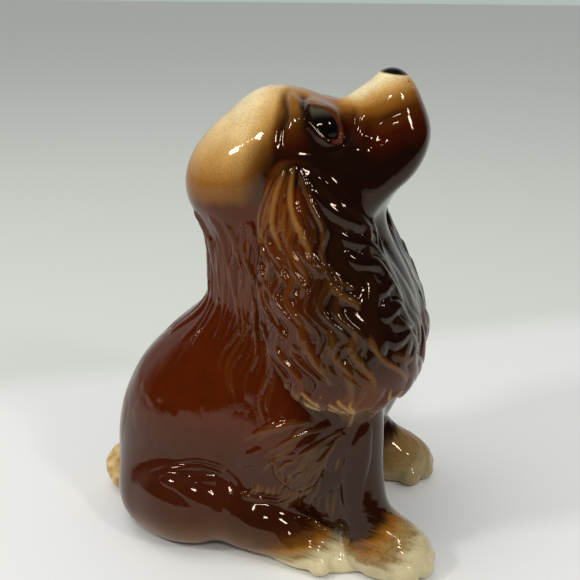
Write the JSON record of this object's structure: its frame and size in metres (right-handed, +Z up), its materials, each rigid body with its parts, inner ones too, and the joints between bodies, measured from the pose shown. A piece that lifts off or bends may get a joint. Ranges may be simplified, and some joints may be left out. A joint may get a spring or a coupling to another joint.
{
  "type": "dog figurine",
  "caption": "Seated long-eared spaniel figurine in glossy airbrushed ceramic, head raised, hollow inside with a vent hole in its base.",
  "frame": {"origin": "on the table, under the middle of the figurine's bounding box", "axes": "+Z up; the dog faces -Y; its right side is -X"},
  "size_m": [0.0668, 0.0992, 0.125],
  "materials": {
    "body_glaze": "glossy",
    "head_glaze": "glossy",
    "ear_glaze": "glossy",
    "foreleg_glaze": "glossy",
    "hind_paw_glaze": "glossy",
    "tail_glaze": "glossy"
  },
  "bodies": {
    "root": {"body": "body_glaze", "head": "head_glaze", "ear_left": "ear_glaze", "ear_right": "ear_glaze", "foreleg_left": "foreleg_glaze", "foreleg_right": "foreleg_glaze", "hind_paw_left": "hind_paw_glaze", "hind_paw_right": "hind_paw_glaze", "tail": "tail_glaze"}
  },
  "joints": []
}
